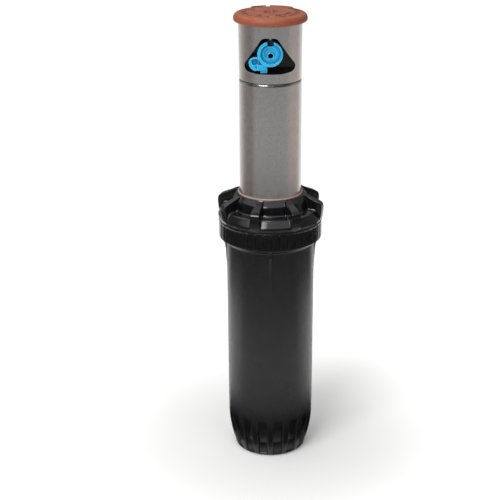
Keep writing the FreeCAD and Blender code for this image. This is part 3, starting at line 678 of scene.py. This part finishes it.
JET = (0.2, 319.2)
JET_R = 1.8
LIP_R = 2.6
DISH = (0.4, 320.8)
DISH_R = 7.3
DISH_DEPTH = 2.6
LOBE = (-10.1, 313.8)
LOBE_R = 3.4
LOBE_DEPTH = 2.8
VOXEL = 0.21


def tool_box(low, high):
    """A cutter between two corners, in millimetres."""
    net = bmesh.new()
    bmesh.ops.create_cube(net, size=1.0)
    mesh = bpy.data.meshes.new("tool")
    net.to_mesh(mesh)
    net.free()
    tool = bpy.data.objects.new("tool", mesh)
    low, high = Vector(low) * MM, Vector(high) * MM
    tool.scale = high - low
    tool.location = (low + high) / 2
    bpy.context.scene.collection.objects.link(tool)
    return tool


def make_nozzle():
    """The CAD nozzle with the dish's steps, then softened like a small moulding."""
    low, _ = low_high("nozzle")
    face = low.y
    mesh = NODES["nozzle"].data.copy()
    piece = bpy.data.objects.new("nozzle_tip", mesh)
    bpy.context.scene.collection.objects.link(piece)
    weld = piece.modifiers.new("weld", "WELD")
    weld.merge_threshold = 1e-6
    jet_x, jet_z = JET
    dish_x, dish_z = DISH
    lobe_x, lobe_z = LOBE
    lip = tool_cylinder(LIP_R, 1.4, (jet_x, face + 2.4, jet_z))
    web = tool_box((-9.4, face + 0.8, 309.0), (-2.4, face + 3.5, 313.2))
    slot = tool_box((-1.7, face - 1.0, 326.2), (2.4, face + 7.0, 332.0))
    tools = [
        lip,
        tool_cylinder(JET_R, 8.0, (jet_x, face + 1.0, jet_z)),
        tool_cylinder(DISH_R, 1.0 + DISH_DEPTH, (dish_x, face - 1.0, dish_z)),
        tool_cylinder(LOBE_R, LOBE_DEPTH, (lobe_x, face, lobe_z)),
        slot,
        web,
    ]
    for index, tool in enumerate(tools):
        cut = piece.modifiers.new(f"cut_{index}", "BOOLEAN")
        cut.operation = "UNION" if tool in (lip, web) else "DIFFERENCE"
        cut.solver = "EXACT"
        cut.object = tool
    grid = piece.modifiers.new("grid", "REMESH")
    grid.mode = "VOXEL"
    grid.voxel_size = VOXEL * MM
    soft = piece.modifiers.new("soft", "SMOOTH")
    soft.factor = 0.5
    soft.iterations = 5
    bpy.context.view_layer.update()
    apply_modifiers(piece)
    for tool in tools:
        bpy.data.objects.remove(tool)
    piece.data.shade_smooth()
    piece.data.materials.clear()
    piece.data.materials.append(MATERIALS["nozzle_plastic"])
    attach(piece, "turret")
    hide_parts("nozzle")
    return piece


# ---------------------------------------------------------------- stage

def make_floor():
    """A round sheet of white paper with a painted glow, which grows away from the object."""
    net = bmesh.new()
    bmesh.ops.create_circle(net, cap_ends=True, segments=128, radius=0.44)
    mesh = bpy.data.meshes.new("paper")
    net.to_mesh(mesh)
    net.free()
    floor = bpy.data.objects.new("paper", mesh)
    bpy.context.scene.collection.objects.link(floor)
    paint = bpy.data.materials.new("paper")
    paint.use_nodes = True
    tree = paint.node_tree
    shader = tree.nodes["Principled BSDF"]
    shader.inputs["Base Color"].default_value = (0.86, 0.86, 0.85, 1)
    shader.inputs["Roughness"].default_value = 0.7
    shader.inputs["Emission Color"].default_value = (1, 1, 1, 1)
    place = tree.nodes.new("ShaderNodeTexCoord")
    length = tree.nodes.new("ShaderNodeVectorMath")
    length.operation = "LENGTH"
    tree.links.new(place.outputs["Object"], length.inputs[0])
    # painted light: the paper glows, faint near the object and stronger away from it
    span = tree.nodes.new("ShaderNodeMapRange")
    span.interpolation_type = "SMOOTHSTEP"
    span.inputs["From Min"].default_value = 0.05
    span.inputs["From Max"].default_value = 0.28
    span.inputs["To Min"].default_value = 0.05
    span.inputs["To Max"].default_value = 0.55
    tree.links.new(length.outputs["Value"], span.inputs["Value"])
    tree.links.new(span.outputs["Result"], shader.inputs["Emission Strength"])
    mesh.materials.append(paint)
    return floor


# how bright the painted reflection ring glows, by distance from the main axis in metres
RING_GLOW_LEVELS = (
    (0.07, 0.0), (0.088, 0.04), (0.125, 0.80), (0.20, 1.0), (0.26, 0.78), (0.33, 0.36), (0.40, 0.05), (0.62, 0.03),
)
RING_RADII = (0.036, 0.08, 0.12, 0.20, 0.25, 0.33, 0.40, 0.62)
RING_REACH = 130
RING_GAP = (0.12, 0.33)
RING_GAP_REACH = 80
RING_STEP = 5


def make_painted_reflection_ring():
    """A glowing ring on the table round the front and sides, seen only in reflections: a painted reflection, black
    near the object as a painted shadow, brightest at 0.2 m and dim farther out.
    """
    degrees = range(-RING_REACH, RING_REACH + 1, RING_STEP)
    turns = [math.radians(a) for a in degrees]
    corners = [(r * math.sin(a), -r * math.cos(a), 0.001) for r in RING_RADII for a in turns]
    count = len(turns)
    faces = []
    for k, radius in enumerate(RING_RADII[:-1]):
        narrow = RING_GAP[0] <= radius < RING_GAP[1]
        reach = RING_GAP_REACH if narrow else RING_REACH
        for i in range(count - 1):
            if -reach <= degrees[i] and degrees[i + 1] <= reach:
                near, far = k * count + i, (k + 1) * count + i
                faces.append((near, near + 1, far + 1, far))
    mesh = bpy.data.meshes.new("painted_reflection_ring")
    mesh.from_pydata(corners, [], faces)
    made = bpy.data.objects.new("painted_reflection_ring", mesh)
    bpy.context.scene.collection.objects.link(made)
    paint = bpy.data.materials.new("painted_reflection_ring")
    paint.use_nodes = True
    tree = paint.node_tree
    tree.nodes.clear()
    place = tree.nodes.new("ShaderNodeTexCoord")
    length = tree.nodes.new("ShaderNodeVectorMath")
    length.operation = "LENGTH"
    tree.links.new(place.outputs["Object"], length.inputs[0])
    ramp = tree.nodes.new("ShaderNodeValToRGB")
    entries = ramp.color_ramp.elements
    while len(entries) < len(RING_GLOW_LEVELS):
        entries.new(0.5)
    for entry, (distance, level) in zip(entries, RING_GLOW_LEVELS):
        entry.position = distance
        entry.color = (level, level, level, 1)
    tree.links.new(length.outputs["Value"], ramp.inputs["Fac"])
    # painted reflection: the ring's glow is graded by distance
    glow = tree.nodes.new("ShaderNodeEmission")
    tree.links.new(ramp.outputs["Color"], glow.inputs["Color"])
    output = tree.nodes.new("ShaderNodeOutputMaterial")
    tree.links.new(glow.outputs["Emission"], output.inputs["Surface"])
    mesh.materials.append(paint)
    made.visible_camera = False
    made.visible_shadow = False
    made.visible_diffuse = False
    return made


def make_world():
    """Studio surroundings: white paper behind, dimmer room in front, a soft box above the front."""
    world = bpy.data.worlds.new("studio")
    bpy.context.scene.world = world
    world.use_nodes = True
    tree = world.node_tree
    tree.nodes.clear()

    def node(kind, **settings):
        made = tree.nodes.new(kind)
        for key, value in settings.items():
            setattr(made, key, value)
        return made

    def ramp(source, stops):
        made = node("ShaderNodeValToRGB")
        entries = made.color_ramp.elements
        while len(entries) < len(stops):
            entries.new(0.5)
        for entry, (position, colour) in zip(entries, stops):
            entry.position = position
            entry.color = (*colour, 1)
        tree.links.new(source, made.inputs["Fac"])
        return made.outputs["Color"]

    def span(source, low, high):
        made = node("ShaderNodeMapRange", interpolation_type="SMOOTHSTEP")
        made.inputs["From Min"].default_value = low
        made.inputs["From Max"].default_value = high
        tree.links.new(source, made.inputs["Value"])
        return made.outputs["Result"]

    def mix(factor, first, second):
        made = node("ShaderNodeMix", data_type="RGBA")
        tree.links.new(factor, made.inputs[0])
        tree.links.new(first, made.inputs[6])
        tree.links.new(second, made.inputs[7])
        return made.outputs[2]

    place = node("ShaderNodeTexCoord").outputs["Generated"]
    parts = node("ShaderNodeSeparateXYZ")
    tree.links.new(place, parts.inputs["Vector"])
    flip = node("ShaderNodeMath", operation="MULTIPLY")
    flip.inputs[1].default_value = -1.0
    tree.links.new(parts.outputs["Y"], flip.inputs[0])
    turn = node("ShaderNodeMath", operation="ARCTAN2")
    tree.links.new(parts.outputs["X"], turn.inputs[0])
    tree.links.new(flip.outputs[0], turn.inputs[1])
    share = node("ShaderNodeMapRange")
    share.inputs["From Min"].default_value = -math.pi
    share.inputs["From Max"].default_value = math.pi
    tree.links.new(turn.outputs[0], share.inputs["Value"])
    side = share.outputs["Result"]

    def at(degrees):
        return 0.5 + degrees / 360

    white = (1.0, 1.0, 0.99)
    umber = (0.320, 0.275, 0.268)
    grey = (0.455, 0.445, 0.44)
    beige = (0.57, 0.50, 0.47)
    night = (0.05, 0.05, 0.052)
    floor = ramp(side, [
        (at(-162), white), (at(-136), (0.70, 0.67, 0.63)), (at(-119), (0.47, 0.43, 0.40)), (at(-103), umber),
        (at(-72), umber), (at(-58), grey), (at(64), grey), (at(75), beige), (at(112), beige),
        (at(128), (0.66, 0.62, 0.59)), (at(150), white)])
    shade = (0.35, 0.34, 0.33)
    dusk = (0.10, 0.10, 0.10)
    level = ramp(side, [
        (0.0, dusk), (at(-150), shade), (at(-120), (0.40, 0.38, 0.36)), (at(-80), night),
        (at(60), night), (at(100), (0.28, 0.26, 0.25)), (at(150), shade), (1.0, dusk)])
    bright = (1.30, 1.30, 1.32)
    high = ramp(side, [(at(-150), white), (at(-115), bright), (at(52), bright), (at(66), (0.5, 0.5, 0.5)),
                       (at(140), (0.6, 0.6, 0.6)), (at(160), white)])
    zenith = ramp(side, [(0.0, (0.12, 0.12, 0.13)), (1.0, (0.12, 0.12, 0.13))])
    lit = floor
    for upper, low, top in ((level, -14, -3), (high, 27, 35), (zenith, 64, 72)):
        share = span(parts.outputs["Z"], math.sin(math.radians(low)), math.sin(math.radians(top)))
        lit = mix(share, lit, upper)
    inside = node("ShaderNodeBackground")
    tree.links.new(lit, inside.inputs["Color"])
    seen = node("ShaderNodeBackground")
    seen.inputs["Color"].default_value = (1, 1, 1, 1)
    seen.inputs["Strength"].default_value = 1.02
    path = node("ShaderNodeLightPath")
    blend = node("ShaderNodeMixShader")
    tree.links.new(path.outputs["Is Camera Ray"], blend.inputs["Fac"])
    tree.links.new(inside.outputs["Background"], blend.inputs[1])
    tree.links.new(seen.outputs["Background"], blend.inputs[2])
    output = node("ShaderNodeOutputWorld")
    tree.links.new(blend.outputs["Shader"], output.inputs["Surface"])


def soft_light(name, spot, aim, size, power, colour=(1, 1, 1)):
    light = bpy.data.lights.new(name, "AREA")
    light.shape = "RECTANGLE"
    light.size, light.size_y = size
    light.energy = power
    light.color = colour
    lamp = bpy.data.objects.new(name, light)
    lamp.location = spot
    lamp.rotation_euler = (Vector(aim) - Vector(spot)).to_track_quat("-Z", "Y").to_euler()
    bpy.context.scene.collection.objects.link(lamp)
    return lamp


CAMERA_SPOT = (0.0, -0.8888, 0.5077)
CAMERA_TILT = 21.1
CAMERA_LENS = 89.3
CAMERA_SHIFT = -0.0427


def make_stage():
    make_floor()
    make_world()
    soft_light("key", (-0.55, -0.95, 0.95), (0, 0, 0.2), (0.7, 0.5), 9.0)
    soft_light("top", (-0.10, -0.25, 1.25), (0, 0, 0.2), (0.25, 0.25), 2.0)
    make_painted_reflection_ring()

    camera = bpy.data.cameras.new("camera")
    camera.lens = CAMERA_LENS
    camera.sensor_width = 36.0
    camera.shift_x = CAMERA_SHIFT
    camera.clip_end = 20.0
    eye = bpy.data.objects.new("camera", camera)
    eye.location = CAMERA_SPOT
    eye.rotation_euler = (math.radians(90 - CAMERA_TILT), 0, 0)
    bpy.context.scene.collection.objects.link(eye)
    bpy.context.scene.camera = eye
    settings = bpy.context.scene.view_settings
    settings.view_transform = "Standard"
    settings.look = "None"
    settings.exposure = 0.0
    settings.gamma = 1.0


make_case()
make_cap()
make_wiper()
make_cover()
make_riser_sleeve()
make_nozzle()
make_stage()

bpy.context.view_layer.update()
